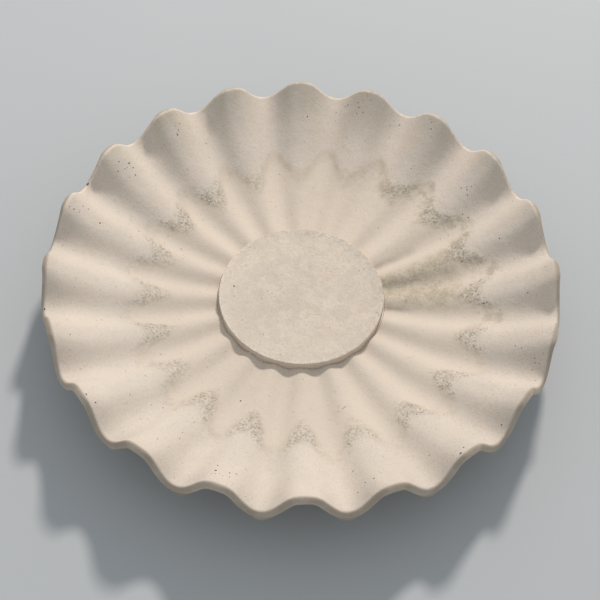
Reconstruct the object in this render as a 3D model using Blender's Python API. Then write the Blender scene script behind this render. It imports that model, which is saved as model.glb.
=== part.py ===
"""Fluted cast-stone bird bath bowl, with a raised disc set in mortar in the middle of its floor.

Metres, +Z up. The origin is the centre of the flat foot that the bowl stands on. Every flute runs
straight out from the axis, and the first ridge lies along +X.
"""

import math

import bmesh
import bpy
from mathutils import Matrix, Vector

# Plan
FLUTES = 20
RIM_RADIUS = 0.300          # where the rim's edge stands, averaged round the bowl
DISC_RADIUS = 0.0992
FOOT_RADIUS = 0.088
FOOT_TOP_RADIUS = 0.096

# Heights above the foot's flat face
DISC_TOP = 0.045
FLOOR_HEIGHT = 0.035        # water side beside the disc, between ridge and valley
RIM_HEIGHT = 0.093          # water side at the rim, between ridge and valley
SOCKET_FLOOR = 0.023

# Shape of the water side
RISE_POWER = 2.3            # how late the bowl's side turns upwards
WAVE_AT_DISC = 0.0020       # half the height from valley to ridge
WAVE_GROWTH = 0.0035        # what the wave gains evenly from the disc to the rim
WAVE_FLARE = 0.0112         # what it gains in the last stretch before the rim
FLARE_POWER = 5.0
EDGE_LEAN = 0.22            # how far a ridge's edge leans inwards, as a share of its height
CREST_FLATNESS = 0.10       # second harmonic at the rim: flat ridges
FLANK_STEEPNESS = 0.045     # third harmonic at the rim: steep flanks

# Shell
DEPTH_AT_RIM = 0.0180       # height of the stone straight down from the water side, at the rim
DEPTH_AT_DISC = 0.0205
DEPTH_POWER = 4.0           # how late it gets less on the way to the rim
UNDER_WAVE = 0.25           # how much deeper the underside's flutes are than the water side's, at the rim
EDGE_START = 0.987          # where the water side turns over into the edge, as a share of the way to the rim
SHOULDER = (0.0016, 0.0016) # the edge's corners: how far outwards and how far down from its start
NOSE = (0.0021, 0.0076)
HEEL = (0.0009, 0.0093)

# Joint round the disc
GAP = 0.0003                # clearance between neighbouring pieces
MORTAR_JOINT = 0.0014       # width of the mortar between the disc and the socket's wall
MORTAR_BED = 0.0032         # depth of the mortar under the disc
MORTAR_SET_BACK = 0.0004    # how far the joint stays below the stone beside it
DISC_ARRIS = 0.0012         # rounding of the disc's edges

# Mesh fineness
COLUMNS_PER_FLUTE = 8
COLUMNS = FLUTES * COLUMNS_PER_FLUTE
WATER_ROWS = 10
UNDER_ROWS = 6
DISC_SIDES = 96
ARRIS_STEPS = 2
SLOPE_STEP = 1e-3           # step, in share and in radians, for the water side's slope
SMOOTH_ANGLE = math.radians(35)

BED_FOOT = SOCKET_FLOOR + GAP
BED_TOP = BED_FOOT + MORTAR_BED
DISC_FOOT = BED_TOP + GAP
JOINT_INNER = DISC_RADIUS + GAP
JOINT_OUTER = JOINT_INNER + MORTAR_JOINT
SOCKET_RADIUS = JOINT_OUTER + GAP


def angle_of(column):
    return 2 * math.pi * column / COLUMNS


def share_at(radius):
    """0 at the disc's edge, 1 at the rim."""
    return (radius - DISC_RADIUS) / (RIM_RADIUS - DISC_RADIUS)


def wave(share, angle):
    """The flutes' height above the bowl's mean surface."""
    phase = FLUTES * angle
    shape = math.cos(phase)
    shape -= CREST_FLATNESS * share * math.cos(2 * phase)
    shape -= FLANK_STEEPNESS * share * math.cos(3 * phase)
    return (WAVE_AT_DISC + WAVE_GROWTH * share + WAVE_FLARE * share**FLARE_POWER) * shape


def water_side(share, angle):
    """A point on the face that holds the water."""
    lift = wave(share, angle)
    radius = DISC_RADIUS + (RIM_RADIUS - DISC_RADIUS) * share - EDGE_LEAN * share**2 * lift
    rise = (RIM_HEIGHT - FLOOR_HEIGHT) * max(share, 0.0) ** RISE_POWER
    return Vector((radius * math.cos(angle), radius * math.sin(angle), FLOOR_HEIGHT + rise + lift))


def slope_lines(share, angle):
    """The water side's outward slope line and its upward normal."""
    outward = water_side(share + SLOPE_STEP, angle) - water_side(share - SLOPE_STEP, angle)
    around = water_side(share, angle + SLOPE_STEP) - water_side(share, angle - SLOPE_STEP)
    return outward.normalized(), outward.cross(around).normalized()


def under_side(share, angle):
    """The underside's point straight below that of the water side."""
    depth = DEPTH_AT_DISC + (DEPTH_AT_RIM - DEPTH_AT_DISC) * share**DEPTH_POWER
    depth -= UNDER_WAVE * share**2 * wave(share, angle)
    return water_side(share, angle) - Vector((0, 0, depth))


def ring(radius, height):
    """A level ring of points."""
    angles = [angle_of(column) for column in range(COLUMNS)]
    return [Vector((radius * math.cos(a), radius * math.sin(a), height)) for a in angles]


def row(point_at, share):
    """A ring of points that follows the flutes."""
    return [point_at(share, angle_of(column)) for column in range(COLUMNS)]


def edge_row(corner):
    """A ring of points along one corner of the rim's edge."""
    across, down = corner
    points = []
    for column in range(COLUMNS):
        angle = angle_of(column)
        outward, normal = slope_lines(EDGE_START, angle)
        points.append(water_side(EDGE_START, angle) + outward * across - normal * down)
    return points


def closed_mesh(name, rings, first_centre, last_centre):
    """A closed body from rings of points, with a fan of triangles over each end."""
    build = bmesh.new()
    loops = [[build.verts.new(point) for point in points] for points in rings]
    for upper, lower in zip(loops, loops[1:]):
        for column in range(COLUMNS):
            after = (column + 1) % COLUMNS
            build.faces.new((upper[column], lower[column], lower[after], upper[after]))
    start = build.verts.new(first_centre)
    end = build.verts.new(last_centre)
    for column in range(COLUMNS):
        after = (column + 1) % COLUMNS
        build.faces.new((start, loops[0][column], loops[0][after]))
        build.faces.new((end, loops[-1][after], loops[-1][column]))
    return mesh_from(name, build)


def mesh_from(name, build):
    mesh = bpy.data.meshes.new(name)
    build.to_mesh(mesh)
    build.free()
    mesh.shade_smooth()
    mesh.set_sharp_from_angle(angle=SMOOTH_ANGLE)
    return mesh


def stone(name, colour, roughness):
    material = bpy.data.materials.new(name)
    material.use_nodes = True
    shader = material.node_tree.nodes["Principled BSDF"]
    shader.inputs["Base Color"].default_value = (*colour, 1.0)
    shader.inputs["Roughness"].default_value = roughness
    shader.inputs["Metallic"].default_value = 0.0
    return material


def add_piece(mesh, material):
    mesh.materials.append(material)
    piece = bpy.data.objects.new(mesh.name, mesh)
    bpy.context.collection.objects.link(piece)
    return piece


def fluted_bowl():
    """The thin shell: socket, water side, rounded edge, underside and foot."""
    first = share_at(SOCKET_RADIUS)
    rings = [ring(SOCKET_RADIUS, SOCKET_FLOOR)]
    for step in range(WATER_ROWS + 1):
        rings.append(row(water_side, first + (EDGE_START - first) * step / WATER_ROWS))
    for corner in (SHOULDER, NOSE, HEEL):
        rings.append(edge_row(corner))
    for step in range(UNDER_ROWS, -1, -1):
        rings.append(row(under_side, EDGE_START * step / UNDER_ROWS))
    rings.append(ring(FOOT_TOP_RADIUS, FLOOR_HEIGHT - DEPTH_AT_DISC - WAVE_AT_DISC))
    rings.append(ring(FOOT_RADIUS, 0.0))
    mesh = closed_mesh("fluted_bowl", rings, Vector((0, 0, SOCKET_FLOOR)), Vector((0, 0, 0)))
    return add_piece(mesh, stone("bowl_cast_stone", (0.70, 0.64, 0.56), 0.85))


def mortar_bed():
    """A shallow cup of mortar: the bed under the disc and the joint round it."""
    inner_lip = ring(JOINT_INNER, 0.0)
    outer_lip = ring(JOINT_OUTER, 0.0)
    for inner, outer, stone_edge in zip(inner_lip, outer_lip, row(water_side, share_at(SOCKET_RADIUS))):
        inner.z = stone_edge.z - MORTAR_SET_BACK
        outer.z = stone_edge.z - MORTAR_SET_BACK
    rings = [ring(JOINT_INNER, BED_TOP), inner_lip, outer_lip, ring(JOINT_OUTER, BED_FOOT)]
    mesh = closed_mesh("mortar_bed", rings, Vector((0, 0, BED_TOP)), Vector((0, 0, BED_FOOT)))
    return add_piece(mesh, stone("bedding_mortar", (0.42, 0.39, 0.34), 0.95))


def centre_disc():
    """The raised disc, with softened edges."""
    build = bmesh.new()
    thickness = DISC_TOP - DISC_FOOT
    bmesh.ops.create_cone(
        build,
        cap_ends=True,
        segments=DISC_SIDES,
        radius1=DISC_RADIUS,
        radius2=DISC_RADIUS,
        depth=thickness,
        matrix=Matrix.Translation((0, 0, thickness / 2)),
    )
    disc = add_piece(mesh_from("centre_disc", build), stone("disc_cast_stone", (0.60, 0.55, 0.47), 0.90))
    disc.location.z = DISC_FOOT
    arris = disc.modifiers.new("arris", "BEVEL")
    arris.width = DISC_ARRIS
    arris.segments = ARRIS_STEPS
    arris.limit_method = "ANGLE"
    return disc


def main():
    for thing in list(bpy.data.objects):
        bpy.data.objects.remove(thing)
    fluted_bowl()
    mortar_bed()
    centre_disc()


main()
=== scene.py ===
"""The bird bath bowl as it looks: worn cast-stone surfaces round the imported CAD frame.

Metres, +Z up, the origin at the centre of the foot. Angles run round the axis from +X, where the
first ridge stands, and the photographer stood on the -Y side.
"""

import math
import random
from types import SimpleNamespace

import bmesh
import bpy
import numpy as np
from mathutils import Matrix, Vector, noise


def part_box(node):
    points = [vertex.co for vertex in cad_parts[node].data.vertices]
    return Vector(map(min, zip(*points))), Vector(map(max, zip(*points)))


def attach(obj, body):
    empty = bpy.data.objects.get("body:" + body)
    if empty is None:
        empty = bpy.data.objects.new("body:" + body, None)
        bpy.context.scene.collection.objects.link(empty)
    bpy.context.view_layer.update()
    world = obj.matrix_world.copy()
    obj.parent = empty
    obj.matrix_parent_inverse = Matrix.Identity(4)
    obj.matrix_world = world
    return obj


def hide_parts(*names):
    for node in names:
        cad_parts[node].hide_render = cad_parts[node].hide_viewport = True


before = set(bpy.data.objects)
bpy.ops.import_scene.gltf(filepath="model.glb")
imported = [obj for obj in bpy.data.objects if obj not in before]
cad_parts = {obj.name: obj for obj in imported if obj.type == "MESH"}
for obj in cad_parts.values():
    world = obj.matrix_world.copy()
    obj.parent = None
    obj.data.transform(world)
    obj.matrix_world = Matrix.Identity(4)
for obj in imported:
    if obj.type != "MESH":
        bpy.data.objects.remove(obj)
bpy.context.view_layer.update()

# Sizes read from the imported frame, with the clearance and the set-back of the CAD part
GAP = 0.0003
DISC_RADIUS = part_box("centre_disc")[1].x
DISC_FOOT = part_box("centre_disc")[0].z
DISC_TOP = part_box("centre_disc")[1].z
JOINT_INNER = DISC_RADIUS + GAP
JOINT_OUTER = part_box("mortar_bed")[1].x
BED_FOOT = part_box("mortar_bed")[0].z
BED_TOP = DISC_FOOT - GAP
SOCKET_RADIUS = JOINT_OUTER + GAP
SOCKET_FLOOR = BED_FOOT - GAP
MORTAR_SET_BACK = 0.0004

# The bowl's surface, as the CAD part defines it
FLUTES = 20
RIM_RADIUS = 0.300
FOOT_RADIUS = 0.088
FOOT_TOP_RADIUS = 0.096
FOOT_HEIGHT = 0.0125
FOOT_ARRIS = 0.0015
FLOOR_HEIGHT = 0.035
RIM_HEIGHT = 0.093
RISE_POWER = 2.3
WAVE_AT_DISC = 0.0020
WAVE_GROWTH = 0.0035
WAVE_FLARE = 0.0112
FLARE_POWER = 5.0
EDGE_LEAN = 0.22
CREST_FLATNESS = 0.10
FLANK_STEEPNESS = 0.045
DEPTH_AT_RIM = 0.0180
DEPTH_AT_DISC = 0.0205
DEPTH_POWER = 4.0
UNDER_WAVE = 0.25
EDGE_START = 0.987

# The rim's edge in section: how far outwards and how far down each corner stands from the end of
# the water side, and the rounding of that corner
EDGE_CORNERS = (
    (-0.0030, 0.0000, 0.0),
    (0.0011, 0.0000, 0.0034),
    (0.0020, 0.0074, 0.0011),
    (0.0008, 0.0093, 0.0),
)
EDGE_MARGIN = 0.017         # share between the last plain row and the start of the edge

# Where the socket's wall stands, as a share of the way from the disc's edge to the rim
SOCKET_SHARE = (SOCKET_RADIUS - DISC_RADIUS) / (RIM_RADIUS - DISC_RADIUS)

# Mesh fineness
COLUMNS = FLUTES * 32
WATER_ROWS = 66
UNDER_ROWS = 40
CORNER_STEPS = 5
DISC_COLUMNS = 480
DISC_ROWS = 26
ARRIS_ROWS = 9
SLOPE_STEP = 1e-3
SMOOTH_ANGLE = math.radians(38)

# Unevenness of a hand-filled casting
LUMP_SIZE = 0.045
LUMP_DEPTH = 0.0005
DISC_LUMP_SIZE = 0.018
DISC_LUMP_DEPTH = 0.0003

# Air holes and chips that show: direction in degrees, share of the way to the rim, width in mm
SEEN_HOLES = (
    (142, 0.87, 2.6), (162, 0.79, 2.2), (219, 0.95, 2.2), (250, 0.87, 3.0), (244, 0.30, 2.0),
    (163, 0.94, 2.0), (328, 0.89, 2.2), (14, 0.52, 1.8), (143, 0.80, 1.8), (63, 0.92, 1.8),
)
EDGE_CHIPS = ((152, 0.985, 5.0), (189, 0.985, 4.0), (217, 0.975, 3.5), (304, 0.972, 4.5))

# Clusters of pinholes: direction in degrees, share of the way to the rim, how many
CLUSTERS = (
    (143, 0.87, 7), (162, 0.90, 5), (127, 0.89, 4), (76, 0.90, 7), (34, 0.76, 6),
    (251, 0.89, 8), (286, 0.88, 5), (335, 0.92, 5),
)
LAST_HOLE_SHARE = 0.965     # no pinhole lies nearer to the edge
HOLLOW_ROUGHNESS = (0.72, 1.08)  # the points of a hollow lie between these shares of its size

# A scratch beside the disc: its place as above, its direction, and its length, width and depth
SCRATCH_PLACE = (287, 0.31)
SCRATCH_AZIMUTH = math.radians(34)
SCRATCH_SIZE = (0.0105, 0.0008, 0.0005)

# The disc's air holes that show, as x, y and width, and how many pinholes lie all over it
DISC_SEEN_HOLES = ((-0.0810, 0.0102, 0.0022), (-0.0806, -0.0045, 0.0013))
DISC_PINHOLES = 60

# Where the disc's arris is worn most, and how far that reaches round it
DISC_WORN_PLACE = math.radians(312)
DISC_WORN_REACH = 0.45

# The level that standing water reached, which isn't quite square to the bowl's axis
TIDE_HEIGHT = 0.049
TIDE_TILT = 0.019

# Silt that settled between the flutes: direction in degrees, reach from the axis in metres, half
# width in degrees, strength
FURROWS = ((12.0, 0.205, 5.5, 0.92), (28.5, 0.180, 5.0, 0.66), (-6.0, 0.150, 4.0, 0.80))

# Colours, as linear shares of red, green and blue. A stone's tones are its pale, deep and warm ones.
BOWL_TONES = ((0.655, 0.566, 0.482), (0.603, 0.526, 0.451), (0.651, 0.542, 0.453))
BATHED = (0.670, 0.556, 0.450)
# Paler washed stone above the water, with painted light on the near and left-hand side
WASHED_AND_LIT = (0.82, 0.715, 0.605)
SILT = (0.43, 0.360, 0.262)
STAIN = (0.37, 0.315, 0.235)
FURROW = (0.33, 0.280, 0.215)
SILT_GRAIN = (0.28, 0.235, 0.180)
BARE_GRAIN = (0.73, 0.640, 0.530)
TIDE_LINE = (0.38, 0.310, 0.225)
CRUST = (0.40, 0.345, 0.270)
CRUST_DARK = (0.27, 0.235, 0.180)
CRUST_LIGHT = (0.75, 0.68, 0.59)
GRIT = (0.30, 0.255, 0.200)
# A green film and painted shade for the far ridges' shaded flanks
GREEN_FILM_AND_SHADE = (0.42, 0.375, 0.255)
# Painted shade for the rim's end face
END_FACE_SHADE = (0.350, 0.285, 0.215)
# Damp grime and painted shade for the underside
GRIME_AND_SHADE = (0.32, 0.268, 0.190)
RUBBED = (0.60, 0.50, 0.39)
# A painted highlight for the far side's upper arris
EDGE_HIGHLIGHT = (0.82, 0.68, 0.55)
DISC_TONES = ((0.682, 0.582, 0.487), (0.612, 0.524, 0.436), (0.662, 0.538, 0.448))
DISC_BLOTCH = (0.570, 0.480, 0.402)
DISC_MOTTLE = (0.500, 0.435, 0.355)
DISC_DARK_SPECK = (0.36, 0.31, 0.25)
DISC_LIGHT_SPECK = (0.84, 0.76, 0.66)
DISC_SCRUBBED = (0.80, 0.69, 0.58)
DISC_BARE_GRAIN = (0.80, 0.71, 0.60)
DISC_DIRT = (0.41, 0.37, 0.305)
# A darker tone for a strip under the disc's top edge
WALL_TOP_DARK = (0.34, 0.285, 0.215)
HOLE = (0.30, 0.25, 0.19)
HOLE_SOIL = (0.13, 0.11, 0.08)
MORTAR_TONES = ((0.70, 0.61, 0.51), (0.62, 0.54, 0.45), (0.65, 0.56, 0.46))
PAPER = (0.46, 0.47, 0.48)
PAPER_PALE = (0.48, 0.49, 0.50)
KEY_COLOUR = (1.0, 0.945, 0.885)
ROOM_COLOUR = (0.87, 0.93, 0.97)
SPECULAR_LEVEL = 0.35

# Camera, light and ground
CAMERA_AZIMUTH = math.radians(-3.20)
CAMERA_ELEVATION = math.radians(54.69)
CAMERA_DISTANCE = 1.4456
CAMERA_ROLL = math.radians(3.34)
CAMERA_LENS = 72.27
CAMERA_SHIFT = (-0.00225, -0.01033)
KEY_AZIMUTH = math.radians(73)
KEY_ELEVATION = math.radians(45)
KEY_DISTANCE = 5.0
KEY_SIZE = 0.60
KEY_POWER = 188.0
ROOM_STRENGTH = 0.60
GROUND_SIZE = 6.0
GROUND_DROP = 0.0004        # the ground lies this far under the foot

randomly = random.Random(7)


# ---- The bowl's surface ----

def unit(vectors):
    return vectors / np.linalg.norm(vectors, axis=-1, keepdims=True)


def round_the_axis(columns):
    """The angles of evenly spaced columns."""
    return 2 * math.pi * np.arange(columns) / columns


def direction(azimuth, elevation):
    """Towards a point at this azimuth from +X and this elevation."""
    level = math.cos(elevation)
    return Vector((math.cos(azimuth) * level, math.sin(azimuth) * level, math.sin(elevation)))


def wave(share, angle):
    """The flutes' height above the bowl's mean surface."""
    phase = FLUTES * angle
    shape = np.cos(phase)
    shape = shape - CREST_FLATNESS * share * np.cos(2 * phase)
    shape = shape - FLANK_STEEPNESS * share * np.cos(3 * phase)
    return (WAVE_AT_DISC + WAVE_GROWTH * share + WAVE_FLARE * share**FLARE_POWER) * shape


def polar(radius, angle, height):
    return np.stack([radius * np.cos(angle), radius * np.sin(angle), height + 0 * angle], axis=-1)


def water_side(share, angle):
    """Points on the face that holds the water: share is 0 at the disc's edge and 1 at the rim."""
    lift = wave(share, angle)
    radius = DISC_RADIUS + (RIM_RADIUS - DISC_RADIUS) * share - EDGE_LEAN * share**2 * lift
    rise = (RIM_HEIGHT - FLOOR_HEIGHT) * np.maximum(share, 0.0) ** RISE_POWER
    return polar(radius, angle, FLOOR_HEIGHT + rise + lift)


def slope_lines(share, angle):
    """The water side's outward slope line and its upward normal."""
    outward = water_side(share + SLOPE_STEP, angle) - water_side(share - SLOPE_STEP, angle)
    around = water_side(share, angle + SLOPE_STEP) - water_side(share, angle - SLOPE_STEP)
    return unit(outward), unit(np.cross(outward, around))


def under_side(share, angle):
    """The underside's points, straight below those of the water side."""
    depth = DEPTH_AT_DISC + (DEPTH_AT_RIM - DEPTH_AT_DISC) * share**DEPTH_POWER
    points = water_side(share, angle)
    points[..., 2] -= depth - UNDER_WAVE * share**2 * wave(share, angle)
    return points


def rounded(corners):
    """The points of an outline whose corners, given as (across, down, rounding), are rounded off."""
    points = [np.array(corners[0][:2])]
    for before, here, after in zip(corners, corners[1:], corners[2:]):
        corner = np.array(here[:2])
        start = corner + unit(np.array(before[:2]) - corner) * here[2]
        end = corner + unit(np.array(after[:2]) - corner) * here[2]
        for t in np.linspace(0.0, 1.0, CORNER_STEPS):
            points.append((1 - t) ** 2 * start + 2 * t * (1 - t) * corner + t**2 * end)
    return points + [np.array(corners[-1][:2])]


def edge_rows(angle):
    """Rows of points over the rim's edge, from the water side to the underside."""
    base = water_side(EDGE_START, angle)
    outward, normal = slope_lines(EDGE_START, angle)
    return [base + outward * across - normal * down for across, down in rounded(EDGE_CORNERS)]


# ---- Meshes ----

def ring_mesh(name, rows, marks):
    """A closed mesh from rows of points round the axis. marks gives, by name, a number for each row."""
    columns = len(rows[0])
    points = np.concatenate(rows + [rows[0].mean(axis=0)[None], rows[-1].mean(axis=0)[None]])
    upper = np.arange((len(rows) - 1) * columns)
    after = upper - upper % columns + (upper + 1) % columns
    quads = np.stack([upper, upper + columns, after + columns, after], axis=-1)
    first = np.arange(columns)
    last = first + (len(rows) - 1) * columns
    first_fan = [(len(points) - 2, a, b) for a, b in zip(first, np.roll(first, -1))]
    last_fan = [(len(points) - 1, b, a) for a, b in zip(last, np.roll(last, -1))]
    mesh = bpy.data.meshes.new(name)
    mesh.from_pydata(points.tolist(), [], quads.tolist() + first_fan + last_fan)
    for mark, row_values in marks.items():
        values = np.repeat(row_values, columns)
        values = np.append(values, [row_values[0], row_values[-1]])
        mesh.attributes.new(mark, "FLOAT", "POINT").data.foreach_set("value", values)
    return mesh


def roughen(mesh, depth, size, inner_radius=0.0):
    """Sinks the surface by up to depth in soft lumps of this size, outside inner_radius."""
    for vertex, normal in zip(mesh.vertices, [n.vector.copy() for n in mesh.vertex_normals]):
        place = vertex.co
        if math.hypot(place.x, place.y) < inner_radius:
            continue
        lump = noise.noise(place / size) + 0.5 * noise.noise(place / size * 2.3)
        vertex.co = place - normal * depth * (0.5 + 0.5 * max(-1.0, min(1.0, lump)))


def stone_piece(mesh, node, material):
    """Adds a piece that stands for a CAD node."""
    mesh.materials.append(material)
    piece = bpy.data.objects.new(mesh.name, mesh)
    bpy.context.collection.objects.link(piece)
    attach(piece, "root")
    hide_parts(node)
    return piece


def hollow(place, normal, along, size):
    """A rough pebble that cuts a hollow: size is its length, width and depth."""
    length, width, depth = size
    across = normal.cross(along).normalized()
    along = across.cross(normal)
    turn = Matrix((along, across, normal)).transposed().to_4x4()
    return Matrix.Translation(place) @ turn @ Matrix.Diagonal((length / 2, width / 2, depth, 1.0))


def cut_hollows(piece, hollows, inside):
    """Cuts the hollows out of the piece. Their inner faces get the material called inside."""
    build = bmesh.new()
    for matrix in hollows:
        made = bmesh.ops.create_icosphere(build, subdivisions=2, radius=1.0)
        for vertex in made["verts"]:
            vertex.co = matrix @ (vertex.co * randomly.uniform(*HOLLOW_ROUGHNESS))
    mesh = bpy.data.meshes.new("cutter")
    build.to_mesh(mesh)
    build.free()
    mesh.materials.append(inside)
    cutter = bpy.data.objects.new("cutter", mesh)
    bpy.context.collection.objects.link(cutter)
    cut = piece.modifiers.new("hollows", "BOOLEAN")
    cut.operation = "DIFFERENCE"
    cut.solver = "MANIFOLD"
    cut.material_mode = "TRANSFER"
    cut.object = cutter
    bpy.context.view_layer.update()
    evaluated = piece.evaluated_get(bpy.context.evaluated_depsgraph_get())
    result = bpy.data.meshes.new_from_object(evaluated)
    piece.modifiers.remove(cut)
    piece.data = result
    bpy.data.objects.remove(cutter)


def finish_mesh(piece):
    piece.data.shade_smooth()
    piece.data.set_sharp_from_angle(angle=SMOOTH_ANGLE)


# ---- Materials ----

class Surface:
    """One material's node tree, with short ways to add to it."""

    def __init__(self, name):
        self.material = bpy.data.materials.new(name)
        self.material.use_nodes = True
        self.tree = self.material.node_tree
        self.shader = self.tree.nodes["Principled BSDF"]
        self.place = self.add("ShaderNodeTexCoord").outputs["Object"]

    def add(self, kind, **settings):
        node = self.tree.nodes.new(kind)
        for setting, value in settings.items():
            setattr(node, setting, value)
        return node

    def feed(self, socket, value):
        if isinstance(value, bpy.types.NodeSocket):
            self.tree.links.new(value, socket)
        else:
            socket.default_value = value

    def math(self, operation, *values):
        node = self.add("ShaderNodeMath", operation=operation)
        for socket, value in zip(node.inputs, values):
            self.feed(socket, value)
        return node.outputs[0]

    def product(self, first, *others):
        for other in others:
            first = self.math("MULTIPLY", first, other)
        return first

    def axes(self):
        node = self.add("ShaderNodeSeparateXYZ")
        self.feed(node.inputs[0], self.place)
        return node.outputs[0], node.outputs[1], node.outputs[2]

    def reach(self, x, y):
        """Distance from the axis."""
        return self.math("SQRT", self.math("ADD", self.product(x, x), self.product(y, y)))

    def turned(self, azimuth, degrees):
        """How far, in radians, a place is turned away from a direction."""
        return self.math("ABSOLUTE", self.math("SUBTRACT", azimuth, math.radians(degrees)))

    def mark(self, name):
        return self.add("ShaderNodeAttribute", attribute_name=name).outputs["Fac"]

    def noise(self, size, detail=2.0, roughness=0.5, seed=0.0):
        """Noise round 0.5, with lumps about this many metres across."""
        node = self.add("ShaderNodeTexNoise", noise_dimensions="4D")
        self.feed(node.inputs["Vector"], self.place)
        node.inputs["W"].default_value = seed
        node.inputs["Scale"].default_value = 1.0 / size
        node.inputs["Detail"].default_value = detail
        node.inputs["Roughness"].default_value = roughness
        return node.outputs["Fac"]

    def ramp(self, value, low, high):
        """0 at low and 1 at high, smooth between them; low may be the larger."""
        node = self.add("ShaderNodeMapRange", interpolation_type="SMOOTHSTEP")
        for socket, given in zip(node.inputs, (value, low, high)):
            self.feed(socket, given)
        return node.outputs[0]

    def blend(self, share, under, over):
        node = self.add("ShaderNodeMix", data_type="RGBA")
        self.feed(node.inputs[0], share)
        self.feed(node.inputs[6], under if isinstance(under, bpy.types.NodeSocket) else (*under, 1.0))
        self.feed(node.inputs[7], over if isinstance(over, bpy.types.NodeSocket) else (*over, 1.0))
        return node.outputs[2]

    def bump(self, height, depth, before=None):
        """Relief as deep as depth, on top of an earlier one."""
        node = self.add("ShaderNodeBump")
        node.inputs["Distance"].default_value = depth
        self.feed(node.inputs["Height"], height)
        if before:
            self.feed(node.inputs["Normal"], before)
        return node.outputs[0]

    def finish(self, colour, roughness, normal):
        self.feed(self.shader.inputs["Base Color"], colour)
        self.feed(self.shader.inputs["Roughness"], roughness)
        self.feed(self.shader.inputs["Normal"], normal)
        self.shader.inputs["Specular IOR Level"].default_value = SPECULAR_LEVEL
        return self.material


def sandy(stone, tones, grain):
    """The base of a cast stone: clouds of two tones, a warmer drift, and sand of this strength."""
    pale, deep, warm = tones
    clouds = stone.ramp(stone.noise(0.060, detail=4.0, roughness=0.6), 0.36, 0.64)
    colour = stone.blend(clouds, deep, pale)
    drift = stone.ramp(stone.noise(0.022, detail=3.0, seed=3.0), 0.45, 0.68)
    colour = stone.blend(stone.math("MULTIPLY", drift, 0.45), colour, warm)
    sand = stone.noise(0.0020, detail=3.0, roughness=0.75, seed=5.0)
    dark_sand = stone.math("MULTIPLY", stone.ramp(sand, 0.50, 0.36), grain)
    colour = stone.blend(dark_sand, colour, tuple(0.60 * c for c in deep))
    light_sand = stone.math("MULTIPLY", stone.ramp(sand, 0.54, 0.68), grain * 0.7)
    return stone.blend(light_sand, colour, tuple(min(1.0, 1.16 * c) for c in pale)), sand


def bowl_places(stone):
    """Where on the bowl a place is, mostly as shares from 0 to 1, and the noises that many marks use."""
    x, y, z = stone.axes()
    azimuth = stone.math("ARCTAN2", y, x)
    radius = stone.reach(x, y)
    phase = stone.math("MULTIPLY", azimuth, FLUTES)
    water = stone.math("MULTIPLY_ADD", x, TIDE_TILT, TIDE_HEIGHT)
    wander = stone.math("MULTIPLY_ADD", stone.noise(0.012, detail=3.0, seed=9.0), 0.0036, -0.0018)
    return SimpleNamespace(
        x=x,
        y=y,
        azimuth=azimuth,
        radius=radius,
        level=stone.math("ADD", stone.math("SUBTRACT", z, water), wander),
        crest=stone.math("MULTIPLY_ADD", stone.math("COSINE", phase), 0.5, 0.5),
        upper=stone.math("SUBTRACT", 1.0, stone.mark("under")),
        right_side=stone.ramp(x, 0.02, 0.16),
        far_side=stone.ramp(y, 0.02, 0.14),
        off_disc=stone.ramp(radius, 0.098, 0.104),
        patchy=stone.ramp(stone.noise(0.014, detail=5.0, roughness=0.65, seed=12.0), 0.38, 0.60),
        damp=stone.ramp(stone.noise(0.030, detail=5.0, roughness=0.65, seed=27.0), 0.35, 0.65),
        specks=stone.noise(0.0022, detail=3.0, roughness=0.65, seed=21.0),
    )


def soaked(stone, at, colour):
    """Under the water's level the stone is warmer, and above it the near and left-hand side is paler:
    partly washed stone, partly painted light.
    """
    bathed = stone.product(stone.ramp(at.level, 0.0012, -0.0012), at.upper)
    colour = stone.blend(stone.math("MULTIPLY", bathed, 0.45), colour, BATHED)
    # Painted light: above the water's level the near and left-hand side is made paler
    near_left_side = stone.ramp(stone.math("MULTIPLY_ADD", at.y, 0.75, at.x), 0.0, -0.24)
    above = stone.ramp(at.level, -0.0010, 0.0100)
    washed_and_lit = stone.product(near_left_side, above, stone.ramp(at.radius, 0.296, 0.268), at.upper, 0.18)
    return stone.blend(washed_and_lit, colour, WASHED_AND_LIT)


def silted(stone, at, colour):
    """Silt on the +X side: a wash over the floor, stains along the water's edge, and dark furrows out
    from the disc."""
    sector = stone.ramp(stone.turned(at.azimuth, 8), 0.30, 0.14)
    wash = stone.product(sector, at.off_disc, stone.ramp(at.radius, 0.216, 0.170), at.upper, 0.84)
    wash = stone.product(wash, stone.math("MULTIPLY_ADD", at.patchy, 0.50, 0.50))
    colour = stone.blend(wash, colour, SILT)

    sector = stone.ramp(stone.turned(at.azimuth, 25), 0.90, 0.42)
    band = stone.product(stone.ramp(at.level, -0.0100, -0.0040), stone.ramp(at.level, 0.0036, -0.0004))
    spots = stone.ramp(stone.noise(0.011, detail=5.0, roughness=0.7, seed=13.0), 0.44, 0.60)
    colour = stone.blend(stone.product(sector, band, spots, at.upper, 0.62), colour, STAIN)

    uneven = stone.math("MULTIPLY_ADD", at.patchy, 0.40, 0.60)
    for degrees, reach, half_width, strength in FURROWS:
        lane = stone.ramp(stone.turned(at.azimuth, degrees), math.radians(half_width), 0.0)
        length = stone.ramp(at.radius, reach, reach * 0.72)
        furrow = stone.product(lane, lane, at.off_disc, length, uneven, at.upper, strength)
        colour = stone.blend(furrow, colour, FURROW)

    dark = stone.product(wash, stone.ramp(at.specks, 0.51, 0.62), 0.62)
    colour = stone.blend(dark, colour, SILT_GRAIN)
    light = stone.product(wash, stone.ramp(at.specks, 0.44, 0.36), 0.45)
    return stone.blend(light, colour, BARE_GRAIN)


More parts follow.
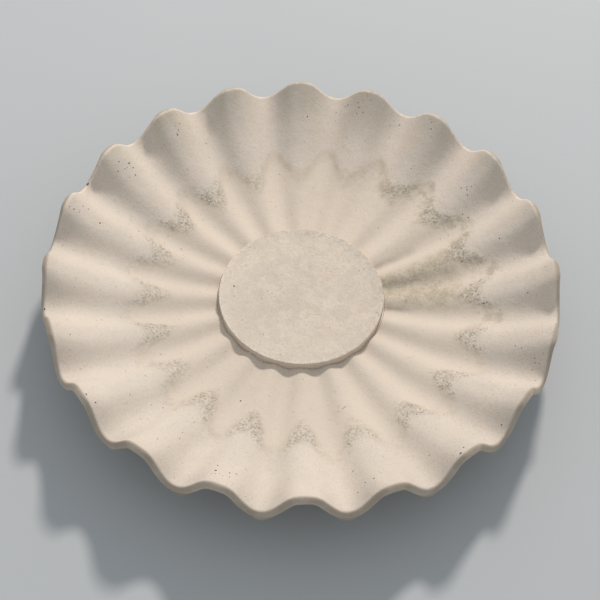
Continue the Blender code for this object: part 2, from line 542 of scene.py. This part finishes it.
def tide_marked(stone, at, colour):
    """The tide line, sharper on its dry side, and the crust that dried on each ridge where it broke
    the water's surface. It also returns where the crust lies."""
    pointed = stone.math("MULTIPLY_ADD", at.crest, 0.0016, at.level)
    broken = stone.ramp(stone.noise(0.013, detail=5.0, roughness=0.65, seed=15.0), 0.38, 0.62)
    broken = stone.math("MAXIMUM", broken, stone.math("MULTIPLY", at.far_side, 0.50))
    rising = stone.ramp(pointed, -0.0080, -0.0004)
    ending = stone.ramp(pointed, 0.0026, -0.0002)
    strength = stone.math("MULTIPLY_ADD", at.far_side, 0.20, 0.26)
    line = stone.product(rising, rising, ending, strength, broken, at.upper)
    colour = stone.blend(line, colour, TIDE_LINE)

    strength = stone.ramp(stone.noise(0.110, detail=1.0, seed=17.0), 0.34, 0.56)
    strength = stone.math("MULTIPLY_ADD", stone.math("MAXIMUM", strength, at.right_side), 0.40, 0.60)
    farthest = stone.ramp(at.y, 0.155, 0.190)
    strength = stone.product(strength, stone.math("MULTIPLY_ADD", farthest, -0.75, 1.0))
    band = stone.product(stone.ramp(pointed, -0.0052, -0.0008), stone.ramp(pointed, 0.0066, 0.0016))
    crust = stone.product(band, stone.ramp(at.crest, 0.14, 0.72), strength, at.upper)
    smudge = stone.ramp(stone.noise(0.010, detail=5.0, roughness=0.65, seed=18.0), 0.40, 0.60)
    colour = stone.blend(stone.product(crust, smudge, 0.46), colour, CRUST)
    dark = stone.product(crust, stone.ramp(at.specks, 0.51, 0.60), 0.80)
    colour = stone.blend(dark, colour, CRUST_DARK)
    light = stone.product(crust, stone.ramp(at.specks, 0.47, 0.37), 0.42)
    return stone.blend(light, colour, CRUST_LIGHT), crust


def filmed_and_shaded(stone, at, colour):
    """A green film with painted shade on the far ridges' shaded flanks, thickest below their edge."""
    shaded = stone.product(stone.ramp(at.y, 0.13, 0.20), stone.ramp(at.crest, 0.20, 0.75))
    uneven = stone.math("MULTIPLY_ADD", at.damp, 0.55, 0.45)
    # Painted shade, darker and greener, with a green film, on the far ridges' shaded flanks
    film_and_shade = stone.product(shaded, stone.ramp(at.radius, 0.225, 0.290), uneven, at.upper, 0.28)
    return stone.blend(film_and_shade, colour, GREEN_FILM_AND_SHADE)


def edged(stone, at, colour):
    """The end face is darkened as painted shade, the underside is darker with damp grime and painted
    shade, the lower arris is rubbed, and the upper one gets a painted highlight on the far side."""
    # Painted shade: the end face is darkened, unevenly in damp patches
    face = stone.product(stone.mark("face"), stone.math("MULTIPLY_ADD", at.damp, 0.30, 0.60))
    colour = stone.blend(face, colour, END_FACE_SHADE)
    # The underside is darker: partly damp grime, partly painted shade
    grime_and_shade = stone.product(stone.mark("grime_and_shade"), stone.math("MULTIPLY_ADD", at.damp, 0.45, 0.45))
    colour = stone.blend(grime_and_shade, colour, GRIME_AND_SHADE)
    rubbed = stone.ramp(stone.noise(0.006, detail=3.0, seed=24.0), 0.35, 0.60)
    colour = stone.blend(stone.product(stone.mark("arris"), rubbed, 0.30), colour, RUBBED)
    uneven = stone.math("MULTIPLY_ADD", rubbed, 0.50, 0.50)
    # Painted highlight along the upper arris on the far side
    edge_highlight = stone.product(stone.mark("shoulder"), uneven, at.far_side, 0.80)
    return stone.blend(edge_highlight, colour, EDGE_HIGHLIGHT)


def bowl_stone():
    """Pale cast stone with what standing water left on it."""
    stone = Surface("bowl_weathered_stone")
    at = bowl_places(stone)
    colour, sand = sandy(stone, BOWL_TONES, grain=0.32)
    colour = soaked(stone, at, colour)
    colour = silted(stone, at, colour)
    colour, crust = tide_marked(stone, at, colour)
    grit = stone.ramp(stone.noise(0.0034, detail=1.0, seed=22.0), 0.715, 0.760)
    colour = stone.blend(stone.math("MULTIPLY", grit, 0.55), colour, GRIT)
    colour = filmed_and_shaded(stone, at, colour)
    colour = edged(stone, at, colour)

    roughness = stone.math("MULTIPLY_ADD", sand, 0.16, 0.76)
    pocks = stone.ramp(stone.noise(0.0045, detail=4.0, roughness=0.6, seed=30.0), 0.42, 0.30)
    relief = stone.bump(stone.noise(0.0100, detail=5.0, roughness=0.6, seed=33.0), 0.0007)
    relief = stone.bump(stone.product(crust, at.specks), 0.0009, relief)
    relief = stone.bump(stone.math("SUBTRACT", sand, stone.math("MULTIPLY", pocks, 0.6)), 0.00022, relief)
    return stone.finish(colour, roughness, relief)


def disc_stone():
    """Greyer, sandier stone, worn by scrubbing."""
    stone = Surface("disc_weathered_stone")
    x, y, z = stone.axes()
    radius = stone.reach(x, y)
    colour, sand = sandy(stone, DISC_TONES, grain=0.36)
    blotches = stone.ramp(stone.noise(0.020, detail=5.0, roughness=0.65, seed=40.0), 0.46, 0.60)
    colour = stone.blend(stone.math("MULTIPLY", blotches, 0.60), colour, DISC_BLOTCH)
    mottle = stone.ramp(stone.noise(0.0060, detail=5.0, roughness=0.70, seed=41.0), 0.50, 0.64)
    colour = stone.blend(stone.math("MULTIPLY", mottle, 0.38), colour, DISC_MOTTLE)
    specks = stone.noise(0.0030, detail=2.0, seed=42.0)
    dark = stone.math("MULTIPLY", stone.ramp(specks, 0.665, 0.730), 0.55)
    colour = stone.blend(dark, colour, DISC_DARK_SPECK)
    light = stone.math("MULTIPLY", stone.ramp(specks, 0.330, 0.275), 0.70)
    colour = stone.blend(light, colour, DISC_LIGHT_SPECK)

    # The near and left-hand side is scrubbed paler, sand grains stand bare along its worn edge, and
    # dirt lies along the far and right-hand side
    towards = stone.math("ADD", stone.math("MULTIPLY", x, 0.72), stone.math("MULTIPLY", y, 0.69))
    scrubbed = stone.product(stone.ramp(radius, 0.030, 0.085), stone.ramp(towards, 0.030, -0.040), 0.17)
    colour = stone.blend(scrubbed, colour, DISC_SCRUBBED)
    near_top = stone.ramp(z, DISC_TOP - 0.0025, DISC_TOP - 0.0010)
    worn_edge = stone.product(stone.ramp(radius, 0.0935, 0.0975), stone.ramp(towards, 0.040, -0.020))
    grains = stone.product(worn_edge, near_top, stone.ramp(specks, 0.50, 0.40), 0.70)
    colour = stone.blend(grains, colour, DISC_BARE_GRAIN)
    band = stone.product(stone.ramp(radius, 0.082, 0.094), stone.ramp(towards, 0.010, 0.060))
    dirt = stone.ramp(stone.noise(0.0055, detail=5.0, roughness=0.7, seed=44.0), 0.42, 0.62)
    colour = stone.blend(stone.product(band, dirt, 0.58), colour, DISC_DIRT)

    # A thin darker strip under the wall's top edge, on the near and left-hand side
    below_top = stone.ramp(z, DISC_TOP - 0.0006, DISC_TOP - 0.0012)
    strip = stone.product(below_top, stone.ramp(z, DISC_TOP - 0.0030, DISC_TOP - 0.0016))
    uneven = stone.ramp(stone.noise(0.005, detail=3.0, seed=46.0), 0.36, 0.56)
    dark_strip = stone.product(strip, stone.ramp(x, 0.060, -0.010), uneven, 0.34)
    colour = stone.blend(dark_strip, colour, WALL_TOP_DARK)

    roughness = stone.math("MULTIPLY_ADD", sand, 0.12, 0.82)
    relief = stone.bump(stone.noise(0.0060, detail=5.0, roughness=0.65, seed=47.0), 0.0009)
    relief = stone.bump(sand, 0.00035, relief)
    return stone.finish(colour, roughness, relief)


def hole_stone():
    """The unwashed inside of air holes and chips."""
    stone = Surface("hole_stone")
    soil = stone.ramp(stone.noise(0.0020, detail=3.0, seed=51.0), 0.35, 0.60)
    colour = stone.blend(soil, HOLE, HOLE_SOIL)
    return stone.finish(colour, 0.95, stone.bump(stone.noise(0.0007, detail=2.0), 0.0003))


def mortar():
    """Sandy mortar with silt in it."""
    stone = Surface("joint_mortar")
    colour, sand = sandy(stone, MORTAR_TONES, grain=0.5)
    return stone.finish(colour, 0.95, stone.bump(sand, 0.0006))


# ---- Pieces ----

def bowl_rows(angle):
    """The bowl's rows of points from its socket to its foot, and each row's marks."""
    rows = [polar(SOCKET_RADIUS * part, angle, SOCKET_FLOOR) for part in (0.5, 1.0)]
    shares = np.linspace(SOCKET_SHARE, EDGE_START - EDGE_MARGIN, WATER_ROWS)
    rows += [water_side(share, angle) for share in shares]
    last_plain = len(rows)
    edge = edge_rows(angle)
    rows += edge
    rows += [under_side(share, angle) for share in np.linspace(EDGE_START, 0.0, UNDER_ROWS)]
    foot = (
        (FOOT_TOP_RADIUS, FOOT_HEIGHT, 0.0),
        (FOOT_RADIUS, 0.0, FOOT_ARRIS),
        (FOOT_RADIUS * 0.6, 0.0, 0.0),
    )
    rows += [polar(radius, angle, height) for radius, height in rounded(foot)]

    # The edge's rows are its start, the arc of its upper corner, the arc of its nose, and its end
    numbers = np.arange(len(rows))
    shoulder_row = last_plain + 2
    nose_row = last_plain + CORNER_STEPS + 3
    face_row = nose_row - 3
    marks = {
        "arris": np.exp(-(((numbers - nose_row) / 1.2) ** 2)),
        "shoulder": np.exp(-(((numbers - shoulder_row) / 1.5) ** 2)),
        "face": np.clip(1.8 - abs(numbers - face_row) / 2.0, 0.0, 1.0),
        # The rows under the nose, where the underside gets grime and painted shade
        "grime_and_shade": np.clip((numbers - nose_row + 1.5) / 3.0, 0.0, 1.0),
        "under": (numbers >= last_plain + len(edge) // 2).astype(float),
    }
    return rows, marks


def on_water_side(degrees, share):
    """A place on the water side, its normal and its outward slope line."""
    angle = np.array(math.radians(degrees))
    outward, normal = slope_lines(share, angle)
    return Vector(water_side(share, angle)), Vector(normal), Vector(outward)


def on_under_side(degrees, share):
    """A place on the underside, its normal and its outward slope line."""
    angle = np.array(math.radians(degrees))
    outward, normal = slope_lines(share, angle)
    return Vector(under_side(share, angle)), -Vector(normal), Vector(outward)


def air_holes():
    """Hollows for the air holes and chips: the large ones where they show, the small ones anywhere."""
    hollows = []
    for degrees, share, width in EDGE_CHIPS:
        place, normal, along = on_water_side(degrees, share)
        hollows.append(hollow(place, normal, along, (width * 0.7e-3, width * 1e-3, width * 0.4e-3)))
    for degrees, share, count in CLUSTERS:
        for _ in range(count):
            share_here = min(LAST_HOLE_SHARE, share + randomly.gauss(0.0, 0.035))
            place, normal, along = on_water_side(degrees + randomly.gauss(0.0, 2.2), share_here)
            width = randomly.uniform(0.0012, 0.0019)
            hollows.append(hollow(place, normal, along, (width * 1.2, width, width * 0.8)))
    for degrees, share, width in SEEN_HOLES:
        place, normal, along = on_water_side(degrees, share)
        hollows.append(hollow(place, normal, along, (width * 1.2e-3, width * 1e-3, width * 0.8e-3)))
    place, normal, _ = on_water_side(*SCRATCH_PLACE)
    hollows.append(hollow(place, normal, direction(SCRATCH_AZIMUTH, 0.0), SCRATCH_SIZE))
    for count, surface, nearest in ((110, on_water_side, 0.55), (70, on_under_side, 0.15)):
        for _ in range(count):
            share = LAST_HOLE_SHARE - (LAST_HOLE_SHARE - nearest) * randomly.random() ** 1.6
            place, normal, along = surface(randomly.uniform(0.0, 360.0), share)
            width = 0.0008 + 0.0011 * randomly.random() ** 3
            hollows.append(hollow(place, normal, along, (width * 1.3, width, width * 0.8)))
    return hollows


def fluted_bowl(material, inside):
    rows, marks = bowl_rows(round_the_axis(COLUMNS))
    mesh = ring_mesh("fluted_bowl_stone", rows, marks)
    roughen(mesh, LUMP_DEPTH, LUMP_SIZE, inner_radius=SOCKET_RADIUS + 0.001)
    piece = stone_piece(mesh, "fluted_bowl", material)
    cut_hollows(piece, air_holes(), inside)
    finish_mesh(piece)


def disc_rows(angle):
    """The disc's rows from its top to its foot, with an arris that is worn more in some places."""
    near_right = np.exp(-(((angle - DISC_WORN_PLACE) / DISC_WORN_REACH) ** 2))
    ragged = np.array([noise.noise((40 * math.cos(a), 40 * math.sin(a), 0.0)) for a in angle])
    worn = 0.0007 + 0.0002 * ragged + near_right * (0.0009 + 0.0012 * ragged)
    radii = np.linspace(0.010, DISC_RADIUS - 0.006, DISC_ROWS)
    rows = [polar(radius + 0 * angle, angle, DISC_TOP) for radius in radii]
    wall = DISC_RADIUS - 0.0001
    for turn in np.linspace(0.0, math.pi / 2, ARRIS_ROWS):
        radius = wall - 1.6 * worn * (1 - math.sin(turn))
        rows.append(polar(radius, angle, DISC_TOP - worn * (1 - math.cos(turn))))
    for height in (DISC_TOP - 0.0040, DISC_TOP - 0.0080, DISC_FOOT + 0.001):
        rows.append(polar(wall, angle, height))
    rows.append(polar(DISC_RADIUS - 0.0010, angle, DISC_FOOT))
    rows.append(polar(DISC_RADIUS * 0.5, angle, DISC_FOOT))
    return rows


def disc_holes():
    """Two air holes that show near the disc's left-hand edge, and pinholes all over its top."""
    up = Vector((0, 0, 1))
    along = Vector((1, 0, 0))
    hollows = []
    for x, y, width in DISC_SEEN_HOLES:
        hollows.append(hollow(Vector((x, y, DISC_TOP)), up, along, (width * 1.2, width, 0.001)))
    for _ in range(DISC_PINHOLES):
        reach = DISC_RADIUS * 0.96 * math.sqrt(randomly.random())
        turn = randomly.uniform(0.0, 2 * math.pi)
        width = 0.0007 + 0.0008 * randomly.random() ** 2
        place = Vector((reach * math.cos(turn), reach * math.sin(turn), DISC_TOP))
        hollows.append(hollow(place, up, along, (width, width, width * 0.6)))
    return hollows


def centre_disc(material, inside):
    mesh = ring_mesh("centre_disc_stone", disc_rows(round_the_axis(DISC_COLUMNS)), {})
    roughen(mesh, DISC_LUMP_DEPTH, DISC_LUMP_SIZE)
    piece = stone_piece(mesh, "centre_disc", material)
    cut_hollows(piece, disc_holes(), inside)
    finish_mesh(piece)


def mortar_bed(material):
    """The cup of mortar under the disc, with a rough lip round it."""
    angle = round_the_axis(COLUMNS)
    lip = water_side(SOCKET_SHARE, angle)[:, 2] - MORTAR_SET_BACK
    rough = np.array([noise.noise((90 * math.cos(a), 90 * math.sin(a), 5.0)) for a in angle])
    middle = (JOINT_INNER + JOINT_OUTER) / 2
    rows = [
        polar(JOINT_INNER * 0.5, angle, BED_TOP),
        polar(JOINT_INNER, angle, BED_TOP),
        polar(JOINT_INNER - 0.0002, angle, lip),
        polar(middle, angle, lip + 0.0002 * rough),
        polar(JOINT_OUTER, angle, lip),
        polar(JOINT_OUTER, angle, BED_FOOT),
        polar(JOINT_OUTER * 0.5, angle, BED_FOOT),
    ]
    mesh = ring_mesh("mortar_joint", rows, {})
    finish_mesh(stone_piece(mesh, "mortar_bed", material))


# ---- Studio ----

def floor():
    build = bmesh.new()
    bmesh.ops.create_grid(build, x_segments=2, y_segments=2, size=GROUND_SIZE)
    mesh = bpy.data.meshes.new("studio_floor")
    build.to_mesh(mesh)
    build.free()
    paper = Surface("studio_paper")
    tone = paper.blend(paper.noise(0.5, detail=2.0), PAPER, PAPER_PALE)
    mesh.materials.append(paper.finish(tone, 0.9, paper.bump(paper.noise(0.002), 0.00005)))
    ground = bpy.data.objects.new("studio_floor", mesh)
    ground.location.z = -GROUND_DROP
    bpy.context.collection.objects.link(ground)


def lights():
    lamp = bpy.data.lights.new("key", "AREA")
    lamp.shape = "DISK"
    lamp.size = KEY_SIZE
    lamp.energy = KEY_POWER
    lamp.color = KEY_COLOUR
    key = bpy.data.objects.new("key", lamp)
    bpy.context.collection.objects.link(key)
    towards = direction(KEY_AZIMUTH, KEY_ELEVATION)
    key.location = towards * KEY_DISTANCE
    key.rotation_euler = towards.to_track_quat("Z", "Y").to_euler()
    world = bpy.data.worlds.new("soft_room")
    world.use_nodes = True
    background = world.node_tree.nodes["Background"]
    background.inputs["Color"].default_value = (*ROOM_COLOUR, 1.0)
    background.inputs["Strength"].default_value = ROOM_STRENGTH
    bpy.context.scene.world = world


def camera():
    lens = bpy.data.cameras.new("camera")
    lens.lens = CAMERA_LENS
    lens.sensor_width = 36.0
    lens.shift_x, lens.shift_y = CAMERA_SHIFT
    viewer = bpy.data.objects.new("camera", lens)
    bpy.context.collection.objects.link(viewer)
    back = direction(CAMERA_AZIMUTH - math.pi / 2, CAMERA_ELEVATION)
    level = Vector((math.cos(CAMERA_AZIMUTH), math.sin(CAMERA_AZIMUTH), 0.0))
    right = math.cos(CAMERA_ROLL) * level + math.sin(CAMERA_ROLL) * back.cross(level)
    turn = Matrix((right, back.cross(right), back)).transposed().to_4x4()
    viewer.matrix_world = Matrix.Translation(Vector((0, 0, DISC_TOP)) + back * CAMERA_DISTANCE) @ turn
    bpy.context.scene.camera = viewer


def main():
    inside = hole_stone()
    fluted_bowl(bowl_stone(), inside)
    centre_disc(disc_stone(), inside)
    mortar_bed(mortar())
    floor()
    lights()
    camera()
    bpy.context.scene.view_settings.view_transform = "Standard"


main()
